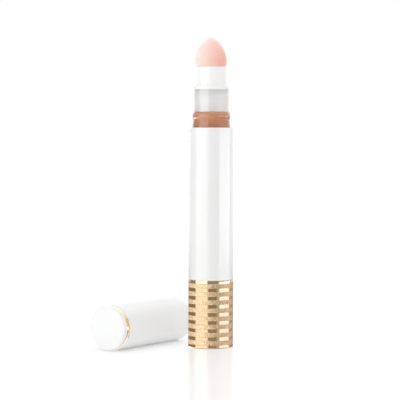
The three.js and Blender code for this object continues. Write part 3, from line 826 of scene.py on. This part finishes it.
# %% [markdown]
# ## The hidden feed
# The core, the drive sleeve, the ratchet, the nut, the screw rod, the piston, the feed tube and the
# post inside the cushion have the right shape in the solid model, so only their finish is new.

# %% Give the feed its acetal
FEED = (
    "base_core", "drive_sleeve", "ratchet_ring", "rod_nut", "screw_rod", "piston", "feed_tube",
    "sponge_post",
)
for name in FEED:
    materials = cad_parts[name].data.materials
    materials.clear()
    materials.append(natural_acetal)
print("acetal on", len(FEED), "pieces of the feed")

# %% [markdown]
# ## The table
# The pen stands on a plain white table of opal acrylic, with just enough gloss for a faint mirror
# image. Far from the pen the acrylic glows, so the table runs into the white behind it with no
# horizon line. Near the pen the glow is weak, which leaves the fine shadow under the cap. The table
# is left out of mirror images, so that the light below can be painted for the gold alone.

# %% Table
TABLE_SIDE = 12.0  # m
GLOW_NEAR = 0.03
GLOW_FAR = 1.0
GLOW_FADE = 0.5  # share of the way in from the edge over which the glow fades

opal, tree, shader, place = new_material("opal_acrylic_table")
shrunk = add_node(tree, "ShaderNodeMapping", {}, {
    "Vector": place, "Scale": [2 / TABLE_SIDE] * 3,
})
near = add_node(tree, "ShaderNodeTexGradient", {"gradient_type": "SPHERICAL"}, {
    "Vector": shrunk.outputs["Vector"],
})
glow = add_node(tree, "ShaderNodeMapRange", {}, {
    "Value": near.outputs["Fac"], "From Max": GLOW_FADE, "To Min": GLOW_FAR, "To Max": GLOW_NEAR,
})
tree.links.new(glow.outputs["Result"], shader.inputs["Emission Strength"])
shader.inputs["Emission Color"].default_value = linear("FFFFFF")
shader.inputs["Base Color"].default_value = linear("FCFCFC")
shader.inputs["Roughness"].default_value = 0.16
shader.inputs["Specular IOR Level"].default_value = 0.016

bm = bmesh.new()
bmesh.ops.create_grid(bm, x_segments=1, y_segments=1, size=TABLE_SIDE / 2)
table = bpy.data.objects.new("table", bpy.data.meshes.new("table"))
bm.to_mesh(table.data)
bm.free()
table.data.materials.append(opal)
table.visible_glossy = False
scene.collection.objects.link(table)
print("the table's side in m:", TABLE_SIDE)

# %% [markdown]
# ## The light
# The light is a white room, dimmer round the camera, with a tall soft lamp on each side. Lamps could
# be objects, but polished gold mirrors whatever stands round it, so the whole room is painted on the
# sky by compass angle, and each lamp stands as a tall strip. Below the horizon the sky goes on in
# three layers, for the gold to mirror instead of the table: strips for the polished bands, then a
# glow for the satin gold, then a floor for the base's bottom edge and the cap's ring.

# %% Plan the room round the compass
DIM = (0.32, 0.25, 0.17)  # a dark corner of the room, warmer than the rest
DAYLIGHT = (1.5, 1.48, 1.85)  # cooler than the lamps
COOL_LEFT = (2.5, 2.75, 3.4)  # the glow on the left, where the satin gold is palest
COOL_MIDDLE = (2.05, 2.2, 2.5)
COOL_FRONT = (2.1, 2.25, 2.5)
# Degrees from the camera's side towards the picture's right, each with a brightness or a colour
PANORAMA = {
    "room": (
        (-180, 1), (-140, 1), (-130, 0.36), (38, 0.36), (50, 0.8), (122, 0.8), (146, 1), (180, 1),
    ),
    "left lamp": ((-87, 0), (-80, 1), (-22, 1), (-15, 0)),
    "right lamp": ((40, 0), (48, 1), (106, 1), (118, 0)),
    "strips": (
        (-180, DIM), (-88, DIM), (-81, 1.25), (-18, 1.25), (-11, DIM), (29, DIM), (34, 0.6),
        (44, 0.6), (49, DAYLIGHT), (104, DAYLIGHT), (112, 0.5), (180, 0.4),
    ),
    "glow": (
        (-180, 1.2), (-165, COOL_LEFT), (-90, COOL_LEFT), (-45, COOL_MIDDLE), (10, COOL_FRONT),
        (40, 0.8), (57, 0), (106, 0), (110, 1.2), (122, 1.2), (126, 0.3), (150, 0.3), (180, 1.0),
    ),
    "floor": ((-180, 1), (-150, 1), (-130, 0.3), (106, 0.3), (114, 1.2), (180, 1.2)),
}
print("planned round the compass:", ", ".join(PANORAMA))

# %% Paint the plan on the sky
world = bpy.data.worlds.new("studio")
world.use_nodes = True
scene.world = world
tree = world.node_tree
tree.nodes.clear()
sky = add_node(tree, "ShaderNodeTexCoord", {}, {})
facing = add_node(tree, "ShaderNodeMapping", {"vector_type": "POINT"}, {
    "Vector": sky.outputs["Generated"], "Rotation": (0, 0, math.pi / 2 - CAMERA_AZIMUTH),
})
parts = add_node(tree, "ShaderNodeSeparateXYZ", {}, {"Vector": facing.outputs["Vector"]})
compass = add_node(tree, "ShaderNodeMath", {"operation": "ARCTAN2"}, {
    0: parts.outputs["Y"], 1: parts.outputs["X"],
})
turn = add_node(tree, "ShaderNodeMapRange", {}, {
    "Value": compass.outputs[0], "From Min": -math.pi, "From Max": math.pi,
})
painted = {}
for name, stand in PANORAMA.items():
    ramp = add_node(tree, "ShaderNodeValToRGB", {}, {"Fac": turn.outputs["Result"]})
    stops = ramp.color_ramp.elements
    while len(stops) < len(stand):
        stops.new(1.0)
    for stop, (degrees, share) in zip(stops, stand):
        stop.position = (degrees + 180) / 360
        stop.color = (*share, 1) if isinstance(share, tuple) else (share, share, share, 1)
    painted[name] = ramp.outputs["Color"]
print("painted", len(painted), "rings of sky")

# %% Put the room, the lamps and the layers together
# Heights are sines of the elevation
OVERHEAD = 0.9
OVERHEAD_START = 0.5
LAMP_EDGE = 0.02
# The height of each lamp's top, and its light
LAMPS = {"left lamp": (0.4, 1.8), "right lamp": (-0.01, 2.6)}
# The height below which each layer is whole, and the height above which it is gone
LAYERS = {"strips": (-0.084, -0.06), "glow": (-0.18, -0.155), "floor": (-0.5, -0.42)}

height = parts.outputs["Z"]
above = add_node(tree, "ShaderNodeMapRange", {}, {
    "Value": height, "From Min": OVERHEAD_START, "From Max": 1.0, "To Max": OVERHEAD,
})
light = add_node(tree, "ShaderNodeVectorMath", {"operation": "ADD"}, {
    0: above.outputs["Result"], 1: painted["room"],
}).outputs["Vector"]
for name, (top, brightness) in LAMPS.items():
    strength = add_node(tree, "ShaderNodeMapRange", {}, {
        "Value": height, "From Min": top, "From Max": top + LAMP_EDGE,
        "To Min": brightness, "To Max": 0.0,
    })
    shone = add_node(tree, "ShaderNodeVectorMath", {"operation": "SCALE"}, {
        0: painted[name], "Scale": strength.outputs["Result"],
    })
    light = add_node(tree, "ShaderNodeVectorMath", {"operation": "ADD"}, {
        0: light, 1: shone.outputs["Vector"],
    }).outputs["Vector"]
for name, (whole, gone) in LAYERS.items():
    share = add_node(tree, "ShaderNodeMapRange", {}, {
        "Value": height, "From Min": whole, "From Max": gone,
    })
    light = add_node(tree, "ShaderNodeMix", {"data_type": "RGBA"}, {
        0: share.outputs["Result"], MIX_A: painted[name], MIX_B: light,
    }).outputs[MIX_RESULT]
print("sky with", len(LAMPS), "lamps and", len(LAYERS), "layers below the horizon")

# %% Show a plain white room behind the pen
studio = add_node(tree, "ShaderNodeBackground", {}, {"Color": light})
white = add_node(tree, "ShaderNodeBackground", {}, {"Color": linear("FFFFFF")})
path = add_node(tree, "ShaderNodeLightPath", {}, {})
both = add_node(tree, "ShaderNodeMixShader", {}, {
    0: path.outputs["Is Camera Ray"], 1: studio.outputs[0], 2: white.outputs[0],
})
add_node(tree, "ShaderNodeOutputWorld", {}, {"Surface": both.outputs[0]})
scene.view_settings.view_transform = "Standard"
scene.cycles.blur_glossy = 0.0  # mirrored strips keep their edges
print("the colours are shown with the", scene.view_settings.view_transform, "view")

# %% [markdown]
# ## What is mirrored, and what gives shade
# A studio keeps the pieces of a set from spoiling each other with flags and cards. Here two switches
# do that. The cap is left out of mirror images, so the gold shows the room alone. The base, the
# barrel and the feed in them don't catch the soft light that goes to the cap and the table, so no
# gold tint and no second shadow falls there.

# %% Set the switches
UNMIRRORED = ("cap_tube", "cap_lining", "cap_ring", "cap_end")
SHADELESS = ("banded_cup", "barrel")
SHADELESS_FEED = ("base_core", "drive_sleeve", "ratchet_ring", "rod_nut", "screw_rod")
for name in UNMIRRORED:
    bpy.data.objects[name].visible_glossy = False
for name in SHADELESS:
    bpy.data.objects[name].visible_diffuse = False
for name in SHADELESS_FEED:
    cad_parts[name].visible_diffuse = False
print("unmirrored:", len(UNMIRRORED), "and shadeless:", len(SHADELESS) + len(SHADELESS_FEED))
